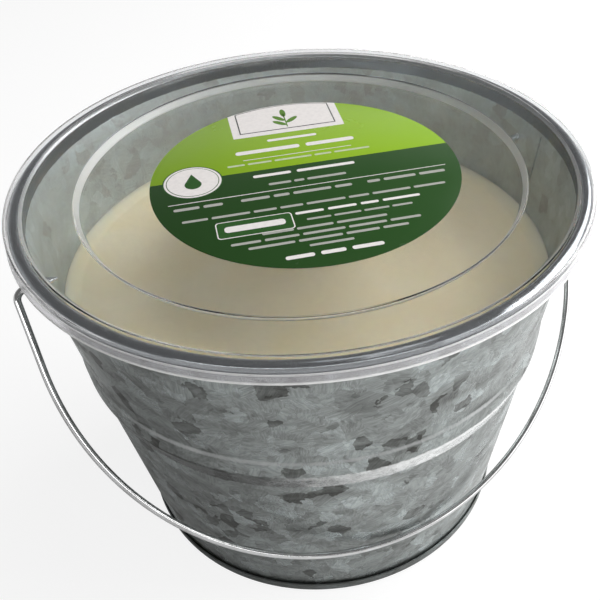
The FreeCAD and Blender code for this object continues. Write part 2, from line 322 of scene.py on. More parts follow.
def flat_circle(vertices, radius, location=(0, 0, 0), rotation=(0, 0, 0), scale=(1, 1, 1)):
    """A filled circle."""
    deselect()
    bpy.ops.mesh.primitive_circle_add(vertices=vertices, radius=radius, fill_type="NGON",
                                      location=location, rotation=rotation)
    return settled(bpy.context.active_object, scale)


def turned_piece(name, outline, steps, turn=TURN, start=0.0):
    """A piece spun about Z from an outline of radii and heights."""
    spots = [Vector((point.x, 0, point.y)) for point in outline]
    deselect()
    bpy.ops.mesh.primitive_plane_add(size=MM, location=(0, 0, 0))
    piece = bpy.context.active_object
    piece.name = piece.data.name = name
    edit_all()
    bpy.ops.mesh.merge(type="CENTER")
    bpy.ops.transform.translate(value=spots[0])
    for before, after in zip(spots, spots[1:]):
        extrude(after - before)
    bpy.ops.mesh.select_all(action="SELECT")
    if start:
        turn_selected(start)
    bpy.ops.mesh.spin(steps=steps, angle=-turn, center=(0, 0, 0), axis=(0, 0, 1))
    bpy.ops.mesh.select_all(action="SELECT")
    bpy.ops.mesh.remove_doubles(threshold=0.002 * MM)
    if turn < TURN:
        fill_ends()
    close_mesh()
    return piece


def fill_ends():
    """Closes the open edges of a part turn."""
    bpy.ops.mesh.select_all(action="DESELECT")
    bpy.ops.mesh.select_mode(type="EDGE")
    bpy.ops.mesh.select_non_manifold()
    bpy.ops.mesh.edge_face_add()
    bpy.ops.mesh.select_mode(type="VERT")


def smooth(piece, degrees=35):
    """Smooth shading that keeps the sharp edges."""
    pick(piece)
    bpy.ops.object.shade_smooth_by_angle(angle=math.radians(degrees))


def join(main, others):
    """Joins other objects into the main one."""
    pick(main, others)
    bpy.ops.object.join()
    return main


def apply_modifier(piece, kind, **settings):
    """Adds a modifier with its settings and applies it."""
    pick(piece)
    modifier = piece.modifiers.new(kind.title(), kind)
    for name, value in settings.items():
        setattr(modifier, name, value)
    bpy.ops.object.modifier_apply(modifier=modifier.name)


def cut(piece, cutter):
    """Cuts a piece with another one, which goes."""
    apply_modifier(piece, "BOOLEAN", object=cutter, operation="DIFFERENCE", solver="EXACT")
    bpy.data.objects.remove(cutter)


def coat(piece, *materials):
    """Gives a piece its materials, in the order of their slots."""
    piece.data.materials.clear()
    for material in materials:
        piece.data.materials.append(material)


def give_faces(piece, slot, test):
    """Gives a material slot to the faces that pass a test of place and normal."""
    for face in piece.data.polygons:
        if test(face.center, face.normal):
            face.material_index = slot


# Nodes


def grey(value):
    """A grey."""
    return value, value, value


def blend(first, second, share):
    """A colour between two, by the share of the first."""
    return tuple(a * share + b * (1 - share) for a, b in zip(first, second))


def tinted(colour, gains):
    """A colour with a gain on each channel."""
    return [value * gain for value, gain in zip(colour, gains)]


def new_material(name):
    """An empty material with its output and a Principled shader."""
    material = bpy.data.materials.new(name)
    material.use_nodes = True
    tree = material.node_tree
    tree.nodes.clear()
    output = tree.nodes.new("ShaderNodeOutputMaterial")
    shader = tree.nodes.new("ShaderNodeBsdfPrincipled")
    tree.links.new(shader.outputs["BSDF"], output.inputs["Surface"])
    return material, tree, shader.inputs


def set_values(inputs, **values):
    """Sets sockets to constant values, a socket's words joined by underscores."""
    for name, value in values.items():
        inputs[name.replace("_", " ")].default_value = value


def lay_out(tree):
    """Sets the nodes in columns, by how far each is from the output."""
    columns = {made.name: 0 for made in tree.nodes}
    for _ in tree.nodes:
        for link in tree.links:
            first, last = link.from_node.name, link.to_node.name
            columns[first] = max(columns[first], columns[last] + 1)
    rows = {}
    for made in tree.nodes:
        column = columns[made.name]
        rows[column] = rows.get(column, 0) + 1
        made.location = (-220 * column, -260 * rows[column])


def feed(tree, socket, value):
    """Links a socket, or sets its value."""
    if isinstance(value, bpy.types.NodeSocket):
        tree.links.new(value, socket)
    elif hasattr(value, "__len__") and socket.type == "RGBA" and len(value) == 3:
        socket.default_value = (*value, 1.0)
    else:
        socket.default_value = value


def node(tree, kind, settings=None, inputs=None):
    """The outputs of a shader node with its settings, and its inputs set or linked."""
    made = tree.nodes.new("ShaderNode" + kind)
    for name, value in (settings or {}).items():
        setattr(made, name, value)
    for name, value in (inputs or {}).items():
        feed(tree, made.inputs[name], value)
    return made.outputs


def math_node(tree, operation, *terms, clamp=False):
    """The result of one sum."""
    return node(tree, "Math", {"operation": operation, "use_clamp": clamp},
                dict(enumerate(terms)))[0]


def vector_node(tree, operation, *terms):
    """The result of one vector sum."""
    inputs = dict(enumerate(terms))
    if operation == "SCALE":
        inputs = {0: terms[0], "Scale": terms[1]}
    made = node(tree, "VectorMath", {"operation": operation}, inputs)
    return made["Value" if operation in ("DOT_PRODUCT", "DISTANCE") else "Vector"]


def axes_node(tree, vector):
    """The three axes of a vector."""
    return node(tree, "SeparateXYZ", inputs={"Vector": vector})


def mapping_node(tree, vector, **settings):
    """A vector scaled along its axes."""
    return node(tree, "Mapping", inputs={"Vector": vector, **settings})["Vector"]


def range_node(tree, value, low, high, new_low=0.0, new_high=1.0, kind="LINEAR"):
    """A value spread over a new range and held at its ends."""
    return node(tree, "MapRange", {"interpolation_type": kind}, {
        "Value": value, "From Min": low, "From Max": high,
        "To Min": new_low, "To Max": new_high})["Result"]


def ramp_node(tree, factor, stops):
    """A colour ramp with its stops, each a grey or a colour."""
    made = tree.nodes.new("ShaderNodeValToRGB")
    feed(tree, made.inputs["Fac"], factor)
    elements = made.color_ramp.elements
    elements.remove(elements[-1])
    for index, (place, colour) in enumerate(stops):
        stop = elements.new(place) if index else elements[0]
        stop.position = place
        stop.color = (*colour, 1) if hasattr(colour, "__len__") else (*grey(colour), 1)
    return made.outputs["Color"]


def mix_node(tree, factor, first, second, kind="MIX"):
    """Two colours mixed."""
    return node(tree, "Mix", {"data_type": "RGBA", "blend_type": kind},
                {0: factor, 6: first, 7: second})[2]


def noise_node(tree, vector, scale, detail=2.0, roughness=0.5, distortion=0.0, output="Fac"):
    """Noise texture."""
    return node(tree, "TexNoise", inputs={
        "Vector": vector, "Scale": scale, "Detail": detail, "Roughness": roughness,
        "Distortion": distortion})[output]


def smudge_node(tree, place, size, low, high):
    """Soft uneven patches between two values."""
    return use_group(tree, "Smudges", {
        "Place": place, "Patch size": size, "Low": low, "High": high})["Amount"]


def raise_surface(tree, shader, strength, distance, height):
    """Raises a material's surface by a height."""
    bump = node(tree, "Bump", inputs={
        "Strength": strength, "Distance": distance, "Height": height})
    feed(tree, shader["Normal"], bump["Normal"])


def object_millimetres(tree):
    """The place on the piece, in millimetres."""
    return vector_node(tree, "SCALE", node(tree, "TexCoord")["Object"], 1000.0)


def new_group(name, inputs, outputs):
    """A node group with named inputs, each with its type and value, and number outputs."""
    group = bpy.data.node_groups.new(name, "ShaderNodeTree")
    for label, kind, value in inputs:
        socket = group.interface.new_socket(
            label, in_out="INPUT", socket_type="NodeSocket" + kind)
        if value is not None:
            socket.default_value = value
    for label in outputs:
        group.interface.new_socket(label, in_out="OUTPUT", socket_type="NodeSocketFloat")
    start = group.nodes.new("NodeGroupInput")
    end = group.nodes.new("NodeGroupOutput")
    return group, start.outputs, end.inputs


def use_group(tree, name, inputs):
    """The outputs of a node group with its own values."""
    build = {"Zinc spangle": zinc_spangle, "Smudges": smudges}
    group = bpy.data.node_groups.get(name) or build[name]()
    return node(tree, "Group", {"node_tree": group}, inputs)


def zinc_spangle():
    """Angular zinc crystals: their tone, their tilt as a height, and fine lines."""
    group, inputs, outputs = new_group(
        "Zinc spangle", [("Place", "Vector", None), ("Crystal size", "Float", 4.6)],
        ["Tone", "Height", "Lines"])
    place = inputs["Place"]
    half = grey(0.5)
    warped = place
    for scale, detail, roughness, reach in ((0.32, 2.0, 0.55, 3.6), (1.6, 3.0, 0.6, 0.6)):
        noise = noise_node(group, place, scale, detail, roughness, output="Color")
        shift = vector_node(group, "SUBTRACT", noise, half)
        warped = vector_node(group, "ADD", warped, vector_node(group, "SCALE", shift, reach))
    density = math_node(group, "DIVIDE", 1.0, inputs["Crystal size"])
    chips_per_crystal = 2.3
    finer = math_node(group, "MULTIPLY", density, chips_per_crystal)
    cells, chips = (
        node(group, "TexVoronoi", inputs={"Vector": warped, "Scale": scale})
        for scale in (density, finer))
    split, small = (
        node(group, "SeparateColor", inputs={"Color": crystals["Color"]})
        for crystals in (cells, chips))
    crystal = ramp_node(group, split["Red"], [
        (0.0, 0.0), (0.08, 0.1), (0.1, 0.4), (0.5, 0.52), (0.85, 0.66), (0.9, 0.84),
        (1.0, 0.9)])
    chip = ramp_node(group, small["Green"], [
        (0.0, 0.0), (0.07, 0.2), (0.1, 0.5), (0.92, 0.6), (0.95, 0.85), (1.0, 0.9)])
    drawn = mapping_node(group, place, Scale=(0.05, 0.05, 0.13))
    clouds = noise_node(group, drawn, 1.0, 3.0, 0.55, 0.4)
    chip_share = 0.3
    cloudiness = 1.16
    mixed = mix_node(group, chip_share, crystal, chip)
    clouded = math_node(group, "MULTIPLY_ADD", clouds, cloudiness, mixed)
    level = math_node(group, "SUBTRACT", clouded, cloudiness / 2, clamp=True)
    group.links.new(level, outputs["Tone"])
    offset = vector_node(group, "SUBTRACT", warped, cells["Position"])
    slope = vector_node(group, "SUBTRACT", cells["Color"], half)
    group.links.new(vector_node(group, "DOT_PRODUCT", offset, slope), outputs["Height"])
    turned = node(group, "VectorRotate", {"rotation_type": "AXIS_ANGLE"}, {
        "Vector": place, "Axis": (0.57, 0.57, 0.59),
        "Angle": math_node(group, "MULTIPLY", split["Blue"], TURN)})
    comb = mapping_node(group, turned["Vector"], Scale=(2.6, 0.2, 0.6))
    lines = noise_node(group, comb, 1.0, 2.0, 0.6, 0.15)
    group.links.new(range_node(group, lines, 0.36, 0.64), outputs["Lines"])
    lay_out(group)
    return group


def smudges():
    """Soft uneven patches of handling and rubbing."""
    group, inputs, outputs = new_group(
        "Smudges",
        [("Place", "Vector", None), ("Patch size", "Float", 12.0), ("Low", "Float", 0.3),
         ("High", "Float", 0.7)], ["Amount"])
    density = math_node(group, "DIVIDE", 1.0, inputs["Patch size"])
    noise = noise_node(group, inputs["Place"], density, 4.0, 0.62, 0.3)
    spread = range_node(group, noise, 0.3, 0.7, inputs["Low"], inputs["High"])
    group.links.new(spread, outputs["Amount"])
    lay_out(group)
    return group


# Finishes

# Bands of the wall: lowest and highest height, and how ragged the edges are, in millimetres.
# The curl band is smoother rolled metal of one even tone; the slope band carries a painted shade
# and painted highlight streaks; the edge band carries a painted highlight line.
CURL_BAND = (105.2, 130.0, 0.6)
SLOPE_BAND = (59.2, 65.2, 1.4)
EDGE_HIGHLIGHT_BAND = (69.9, 70.7, 0.5)
BAND_EASE = 0.3


def zinc_material(name, colour, contrast, shine, painted_bead_light=False):
    """Galvanised sheet. For the outside, the bead's lower slope is smoother and carries a painted
    shade and painted highlight streaks, and the bead's upper edge a painted highlight line.
    """
    material, tree, shader = new_material(name)
    place = object_millimetres(tree)
    spangle = use_group(tree, "Zinc spangle", {"Place": place})
    rubbed = smudge_node(tree, place, 20.0, 0.0, 1.0)
    dark = tinted([value * (1 - contrast) for value in colour], (1.05, 1.0, 0.94))
    light = tinted([value * (1 + contrast) for value in colour], (0.97, 1.0, 1.02))
    base = ramp_node(tree, spangle["Tone"], [(0.05, dark), (0.5, colour), (1.0, light)])
    depth = 0.46 * contrast
    lined = math_node(tree, "MULTIPLY_ADD", spangle["Lines"], depth, 1.0 - depth / 2)
    base = mix_node(tree, 1.0, base, lined, "MULTIPLY")
    rough = math_node(tree, "MULTIPLY_ADD", spangle["Tone"], -0.18, shine + 0.14)
    rough = math_node(tree, "MULTIPLY_ADD", rubbed, 0.12, rough)
    rolled = band_mask(tree, place, *CURL_BAND)
    base = mix_node(tree, rolled, base, (0.24, 0.25, 0.26))
    rough = mix_node(tree, rolled, rough, grey(0.13))
    if painted_bead_light:
        # Smoother metal on the bead's lower slope, with painted shade: the whole slope is
        # darkened.
        slope = band_mask(tree, place, *SLOPE_BAND)
        drawn = mix_node(tree, 1.0, base, (0.42, 0.42, 0.41), "MULTIPLY")
        # Painted highlight: two ragged near-white streaks on the darkened slope.
        painted_streak_highlight = mix_node(tree, painted_highlight_streaks(tree, place), drawn, (0.93, 0.94, 0.94))
        base = mix_node(tree, slope, base, painted_streak_highlight)
        # Painted highlight: a lighter, broken line along the bead's upper edge.
        line = math_node(tree, "MULTIPLY", band_mask(tree, place, *EDGE_HIGHLIGHT_BAND), rubbed)
        base = mix_node(tree, line, base, (0.5, 0.51, 0.51))
        rough = mix_node(tree, slope, rough, grey(0.1))
    feed(tree, shader["Base Color"], base)
    feed(tree, shader["Roughness"], rough)
    set_values(shader, Metallic=0.88)
    height = math_node(tree, "MULTIPLY", spangle["Lines"], 0.03)
    height = math_node(tree, "MULTIPLY_ADD", spangle["Height"], 0.05, height)
    relief = math_node(tree, "MULTIPLY_ADD", rolled, -0.9, 1.0)
    height = math_node(tree, "MULTIPLY", height, relief)
    wavy = noise_node(tree, place, 0.06, 1.0)
    height = math_node(tree, "MULTIPLY_ADD", wavy, 0.7, height)
    raise_surface(tree, shader, 1.0, MM, height)
    lay_out(tree)
    return material


def painted_highlight_streaks(tree, place):
    """Two long ragged streaks of painted highlight, on opposite sides of the bead's lower slope.
    """
    axes = axes_node(tree, place)
    around = math_node(tree, "ARCTAN2", axes["Y"], axes["X"])
    # Twice the angle makes two streaks, and the turn brings one to the front right.
    turn = math.radians(154)
    twice = math_node(tree, "MULTIPLY_ADD", around, 2.0, turn)
    wave = math_node(tree, "COSINE", twice)
    grit = noise_node(tree, place, 0.35, 5.0, 0.8)
    ragged = math_node(tree, "MULTIPLY_ADD", grit, 1.6, wave)
    return range_node(tree, ragged, 0.6, 1.75)


def band_mask(tree, place, low, high, ragged):
    """A mask between two heights, in millimetres, with ragged edges."""
    grit = noise_node(tree, place, 0.9, 3.0, 0.7)
    moved = math_node(tree, "MULTIPLY_ADD", grit, ragged, axes_node(tree, place)["Z"])
    low += ragged / 2
    high += ragged / 2
    above = range_node(tree, moved, low - BAND_EASE, low + BAND_EASE, kind="SMOOTHSTEP")
    below = range_node(tree, moved, high - BAND_EASE, high + BAND_EASE, 1.0, 0.0, "SMOOTHSTEP")
    return math_node(tree, "MULTIPLY", above, below)


def wire_material():
    """Bright drawn wire."""
    material, tree, shader = new_material("bright wire")
    place = object_millimetres(tree)
    rubbed = smudge_node(tree, place, 9.0, 0.05, 0.12)
    worn = ramp_node(tree, rubbed, [(0.05, (0.75, 0.755, 0.76)), (0.12, (0.55, 0.55, 0.55))])
    feed(tree, shader["Base Color"], worn)
    feed(tree, shader["Roughness"], rubbed)
    set_values(shader, Metallic=1.0)
    scratch = noise_node(tree, place, 3.0, 3.0, 0.7)
    raise_surface(tree, shader, 0.08, 0.05 * MM, scratch)
    lay_out(tree)
    return material


def wax_material(colour):
    """Soft cream wax with faint mottling."""
    material, tree, shader = new_material("candle wax")
    place = object_millimetres(tree)
    cloud = noise_node(tree, place, 0.05, 4.0, 0.6, 0.5)
    speck = noise_node(tree, place, 0.6, 3.0, 0.6)
    yellow = tinted(colour, (0.97, 0.945, 0.86))
    base = ramp_node(tree, cloud, [(0.3, yellow), (0.68, colour)])
    flecks = ramp_node(tree, speck, [(0.3, 0.955), (0.62, 1.0)])
    feed(tree, shader["Base Color"], mix_node(tree, 1.0, base, flecks, "MULTIPLY"))
    feed(tree, shader["Roughness"], math_node(tree, "MULTIPLY_ADD", speck, 0.2, 0.38))
    set_values(shader, Subsurface_Weight=0.6, Subsurface_Radius=(1.0, 0.72, 0.4),
               Subsurface_Scale=9 * MM)
    swell = math_node(tree, "MULTIPLY_ADD", cloud, 3.0, speck)
    raise_surface(tree, shader, 0.5, 0.12 * MM, swell)
    lay_out(tree)
    return material


def plastic_material(name, colour, clearness, haze, ior):
    """Clear plastic, milkier where it was drawn thin over the rim."""
    material, tree, shader = new_material(name)
    place = object_millimetres(tree)
    feed(tree, shader["Roughness"], smudge_node(tree, place, 26.0, haze, haze + 0.05))
    set_values(shader, Base_Color=(*colour, 1), Transmission_Weight=clearness, IOR=ior)
    raise_surface(tree, shader, 0.5, 0.5 * MM, noise_node(tree, place, 0.04, 1.0))
    lay_out(tree)
    return material


def label_material(sizes, finish):
    """Printed label in two greens that meet on a straight line."""
    material, tree, shader = new_material("label greens")
    turned = node(tree, "Mapping", {"vector_type": "TEXTURE"}, {
        "Vector": node(tree, "TexCoord")["Object"],
        "Location": (LABEL_MIDDLE.x, LABEL_MIDDLE.y, 0),
        "Rotation": (0, 0, sizes.turn)})["Vector"]
    upper = math_node(tree, "GREATER_THAN", axes_node(tree, turned)["Y"], sizes.split)
    glow = vector_node(tree, "DISTANCE", turned, (0, 18 * MM, LABEL_MIDDLE.z))
    fade = range_node(tree, glow, 4 * MM, 42 * MM)
    pale = tinted(finish.light_green, (1.06, 1.05, 1.3))
    deep = tinted(finish.light_green, (0.94, 0.97, 0.85))
    lime = mix_node(tree, fade, pale, deep)
    feed(tree, shader["Base Color"], mix_node(tree, upper, tuple(finish.dark_green), lime))
    place = object_millimetres(tree)
    feed(tree, shader["Roughness"], smudge_node(tree, place, 15.0, 0.2, 0.28))
    raise_surface(tree, shader, 0.4, 0.15 * MM, noise_node(tree, place, 0.12))
    set_values(shader, Specular_IOR_Level=0.22)
    lay_out(tree)
    return material


def ink_material(name, colour):
    """One flat ink of the label, a little uneven."""
    material, tree, shader = new_material(name)
    uneven = noise_node(tree, object_millimetres(tree), 0.8)
    weak = [value * 0.94 for value in colour]
    feed(tree, shader["Base Color"], ramp_node(tree, uneven, [
        (0.35, weak), (0.6, tuple(colour))]))
    set_values(shader, Roughness=0.25, Specular_IOR_Level=0.22)
    lay_out(tree)
    return material


def cotton_material():
    """Waxed cotton strands."""
    material, tree, shader = new_material("waxed cotton")
    fibre = noise_node(tree, object_millimetres(tree), 6.0, 3.0, 0.7)
    feed(tree, shader["Base Color"], ramp_node(tree, fibre, [
        (0.3, (0.62, 0.57, 0.46)), (0.7, (0.86, 0.83, 0.74))]))
    set_values(shader, Roughness=0.7, Sheen_Weight=0.2)
    raise_surface(tree, shader, 0.6, 0.1 * MM, fibre)
    lay_out(tree)
    return material


# Pieces


class BuildWall(bpy.types.Operator):
    """Builds the tapered wall with its bead, rim curl, lock seam and bail holes"""

    bl_idname = "candle_bucket.wall"
    bl_label = "Wall"

    def execute(self, context):
        settings = context.scene.candle_bucket
        sizes = settings.bucket
        zinc = settings.finish.zinc
        foot = sizes.sheet + 0.2 * MM
        ring = 3 * MM
        slit = 0.7 * MM
        line = wall_line(sizes, foot, (
            PIVOT.z - ring, PIVOT.z, PIVOT.z + ring, sizes.rim_height))
        line += self.rim_curl(sizes)
        outline = line + offset_line(line, sizes.sheet)[::-1] + line[:1]
        wall = turned_piece("wall", outline, sizes.steps)
        deselect()
        bpy.ops.mesh.primitive_cylinder_add(
            vertices=32, radius=settings.bail.wire_radius + sizes.hole_play,
            depth=4 * sizes.mouth_radius, location=PIVOT, rotation=(0, math.pi / 2, 0))
        cut(wall, bpy.context.active_object)
        cut(wall, self.seam_strip("closing_line", sizes, slit, -0.3 * sizes.sheet,
                                  0.6 * sizes.sheet, 1))
        seam = self.seam_strip("lock_seam", sizes, sizes.seam_width, 0.5 * sizes.sheet,
                               sizes.sheet + sizes.seam_layers, 8)
        apply_modifier(seam, "BEVEL", width=0.25 * MM, segments=3, limit_method="ANGLE",
                       angle_limit=math.radians(60))
        join(wall, [seam])
        smooth(wall)
        # The outside carries the painted shade and painted highlights of the bead.
        coat(wall, zinc_material("galvanised outside", zinc, 0.78, 0.2, painted_bead_light=True),
             # Painted light: the inside is a lighter copy of the outside's zinc.
             zinc_material("galvanised inside painted lighter", tinted(zinc, (1.5, 1.54, 1.6)), 0.24, 0.34))
        give_faces(wall, 1, lambda centre, normal: (
            normal.x * centre.x + normal.y * centre.y < 0
            and centre.xy.length < sizes.mouth_radius))
        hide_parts("bucket_wall")
        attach(wall, "bucket")
        return {"FINISHED"}

    def rim_curl(self, sizes, steps=24):
        """Points of the curl, outward from the top of the wall and under."""
        taper = wall_taper(sizes)
        middle = Vector((sizes.mouth_radius + sizes.curl_radius * math.cos(taper),
                         sizes.rim_height - sizes.curl_radius * math.sin(taper)))
        start = math.pi - taper
        points = []
        for step in range(1, steps + 1):
            turn = start - (start + math.pi / 2) * step / steps
            points.append(middle + sizes.curl_radius * Vector((math.cos(turn), math.sin(turn))))
        return points

    def seam_strip(self, name, sizes, width, inner, outer, steps):
        """An upright strip at the seam, between two distances from the wall's inside."""
        line = wall_line(sizes, sizes.hem_height + sizes.sheet,
                         [sizes.rim_height - sizes.seam_drop])
        outline = offset_line(line, inner) + offset_line(line, outer)[::-1]
        turn = width / sizes.mouth_radius
        return turned_piece(name, outline + outline[:1], steps, turn,
                            sizes.seam_angle - turn / 2)


class BuildBase(bpy.types.Operator):
    """Builds the recessed base with the hem that wraps the wall's foot"""

    bl_idname = "candle_bucket.base"
    bl_label = "Base"

    def execute(self, context):
        settings = context.scene.candle_bucket
        sizes = settings.bucket
        gap = 0.05 * MM
        crease = 0.2 * MM
        folded = 2 * sizes.sheet / math.cos(wall_taper(sizes)) + gap
        top = sizes.base_height
        foot = sizes.sheet
        inside = wall_radius(sizes, foot)
        corners = [
            (0, top, 0),
            (wall_radius(sizes, top) - gap, top, 1.2 * MM),
            (inside - gap, foot, crease),
            (inside + folded, foot, crease),
            (wall_radius(sizes, sizes.hem_height) + folded, sizes.hem_height, 0),
        ]
        base = turned_piece("base", sheet_outline(corners, sizes.sheet), sizes.steps)
        smooth(base)
        # Painted shade: the base and hem are a darker copy of the wall's zinc.
        shaded = [value * 0.62 for value in settings.finish.zinc]
        coat(base, zinc_material("galvanised base", shaded, 0.3, 0.34))
        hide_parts("bucket_base")
        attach(base, "bucket")
        return {"FINISHED"}


class BuildCandle(bpy.types.Operator):
    """Builds the wax and the twisted wick, and finishes the wick's foot"""

    bl_idname = "candle_bucket.candle"
    bl_label = "Candle"

    def execute(self, context):
        settings = context.scene.candle_bucket
        sizes = settings.candle
        bucket = settings.bucket
        foot = cad_low("wax_fill").z
        top = sizes.wax_top
        edge = top + sizes.creep
        hole = sizes.wick_radius + 0.05 * MM
        hole_foot = top - 3 * MM
        dimple = 9 * MM
        corners = [(0, foot, 0), (wall_radius(bucket, foot) - sizes.gap, foot, 0)]
        corners += bead_corners(bucket, sizes.gap)
        corners += [
            (wall_radius(bucket, edge) - sizes.gap, edge, 0),
            (wall_radius(bucket, top) - sizes.creep_width, top, sizes.creep_width),
            (wall_radius(bucket, top) * 0.5, top, 0),
            (dimple, top, 6 * MM),
            (hole + 0.8 * MM, top - 0.3 * MM, 0.6 * MM),
            (hole, top + 0.2 * MM, 0),
            (hole, hole_foot, 0),
            (0, hole_foot, 0),
        ]
        wax = turned_piece("wax", round_off(corners), bucket.steps)
        smooth(wax)
        coat(wax, wax_material(settings.finish.wax))
        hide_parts("wax_fill")
        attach(wax, "bucket")
        wick = self.twisted_wick(sizes)
        coat(wick, cotton_material())
        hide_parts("wick")
        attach(wick, "bucket")
        coat(frame["nodes"]["wick_tab"], zinc_material("tinned foot", (0.6, 0.6, 0.58), 0.15, 0.3))
        return {"FINISHED"}

    def twisted_wick(self, sizes, strand_count=3, levels=84):
        """Strands twisted round each other, drawn in at the top."""
        low = cad_low("wick").z
        cap = 0.3 * MM
        rise = (cad_high("wick").z - low - cap) / levels
        radius = sizes.wick_radius * 0.54
        reach = sizes.wick_radius - radius
        strands = []
        for index in range(strand_count):
            start = TURN * index / strand_count
            strand = flat_circle(
                14, radius, (reach * math.cos(start), reach * math.sin(start), low))
            strand.name = "wick"
            edit_all()
            for level in range(levels):
                extrude((0, 0, rise))
                turn_selected(TURN * rise / sizes.wick_twist)
            extrude((0, 0, cap))
            bpy.ops.transform.resize(value=(0.55, 0.55, 1))
            close_mesh()
            strands.append(strand)
        wick = join(strands[0], strands[1:])
        smooth(wick, 60)
        return wick


# Finishes of the lid by slot: name, colour, clearness, haze and refraction.
LID_FINISHES = (
    ("clear plastic", (0.975, 0.98, 0.985), 1.0, 0.02, 1.3),
    ("drawn plastic", (0.8, 0.79, 0.81), 0.8, 0.08, 1.4),
    # Near-white lines at the flare's crease and the lip's edge: partly the whitening of creased
    # plastic, partly a painted highlight.
    ("creased plastic with painted highlight", (0.93, 0.93, 0.92), 0.3, 0.1, 1.3),
    ("bent plastic", (0.95, 0.95, 0.94), 0.93, 0.3, 1.3),
)


class BuildLid(bpy.types.Operator):
    """Builds the clear lid"""

    bl_idname = "candle_bucket.lid"
    bl_label = "Lid"

    def execute(self, context):
        sizes = context.scene.candle_bucket.lid
        top = cad_high("lid").z
        shelf = top - sizes.step
        disc = shelf - sizes.recess_depth
        crown = sizes.side - sizes.crown
        flare = top - sizes.skirt
        rolled = 0.85
        crease = 0.35 * MM
        corners = [
            (0, disc, 0),
            (sizes.recess_radius - sizes.recess_run, disc, sizes.bend),
            (sizes.recess_radius, shelf, sizes.bend),
            (crown - sizes.step_run, shelf, sizes.bend),
            (crown, top, sizes.bend),
            (sizes.side, top, sizes.bend + 0.1 * MM),
            (sizes.side, flare, sizes.bend),
            (sizes.side + rolled * sizes.flare, flare - rolled * sizes.lip, 0),
            (sizes.side + sizes.flare, flare - sizes.lip, 0),
        ]
        lid = turned_piece("clear_lid", sheet_outline(corners, sizes.sheet), 240)
        smooth(lid, 50)
        coat(lid, *[plastic_material(*finish) for finish in LID_FINISHES])
        give_faces(lid, 1, lambda centre, normal: (
            centre.z < flare - 0.3 * MM and centre.xy.length > crown))
        # Slot 2 gives the flare's crease and the lip's edge their near-white lines, partly a
        # painted highlight.
        give_faces(lid, 2, lambda centre, normal: (
            centre.xy.length > sizes.side - 0.9 * MM
            and (abs(centre.z - flare) < crease or centre.z < flare - rolled * sizes.lip)))
        give_faces(lid, 3, lambda centre, normal: (
            centre.xy.length < crown and abs(normal.z) < 0.8))
        lid.visible_shadow = False
        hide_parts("lid")
        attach(lid, "lid")
        return {"FINISHED"}


# Slots of the label's inks.
GREENS, WHITE, GREEN, GREY, LEAF, FINE_ON_DARK, FINE_ON_LIGHT = range(7)

# Rows of the print, from the top down: height of the row above the label's
# middle, height of its bars, and the ends of each bar.
PRINT_ROWS = (
    (20.4, 2.0, ((-7.0, 7.0),)),
    (15.4, 3.0, ((-16.6, 1.2), (3.0, 16.6))),
    (9.2, 1.1, ((-19.6, -14.9), (-14.1, -7.6), (-6.8, 3.4), (4.2, 8.9), (9.7, 19.6))),
    (2.3, 2.1, ((-13.7, -3.6), (-2.0, 13.7))),
    (-2.4, 1.3, ((-10.3, -4.4), (-3.6, -0.9), (-0.1, 10.3))),
    (-8.2, 1.5, ((-35.4, -28.9), (-27.9, -23.0), (-18.4, -11.0), (-10.0, -5.9),
                 (-4.9, 5.0), (6.0, 10.5), (14.6, 18.0), (19.0, 27.6), (28.6, 35.6))),
    (-14.0, 1.2, ((-33.8, -27.4), (-26.5, -16.9), (-16.0, -10.2), (-9.3, -3.5),
                  (-2.6, 7.4), (8.3, 13.6), (14.5, 24.5), (25.4, 33.8))),
    (-17.7, 1.7, ((-6.2, 1.0), (2.1, 9.4), (10.5, 15.1), (16.2, 25.9))),
    (-20.9, 1.0, ((-3.9, 2.2), (3.0, 9.8), (10.6, 17.0), (17.8, 23.0))),
    (-24.2, 1.2, ((-15.5, -7.8), (-7.0, 2.0), (2.9, 15.5))),
    (-26.8, 1.2, ((-23.4, -16.2), (-15.3, -6.9), (-6.0, 4.4), (5.3, 14.8), (15.7, 23.4))),
    (-29.3, 1.2, ((-19.6, -8.4), (-7.5, 3.2), (4.1, 12.3), (13.2, 19.6))),
    (-31.8, 1.1, ((-5.4, 5.4),)),
    (-35.4, 2.3, ((-11.8, -4.9), (-3.4, 2.6), (4.1, 11.8))),
)
# Thin rules of the print: height above the middle and both ends.
PRINT_RULES = ((11.4, -15.0, 15.0), (-5.6, -36.5, 36.6))
RULE_WIDTH = 0.28
# Bars lower than this are fine print.
FINE_PRINT = 1.6
# Half the width of the pale panel, and its foot above the middle.
PANEL_HALF, PANEL_FOOT = 16, 23.8
# Middles of the badge and of the boxed bar.
BADGE = (-29.4, 4.2)
BOX = (-16.6, -20.2)


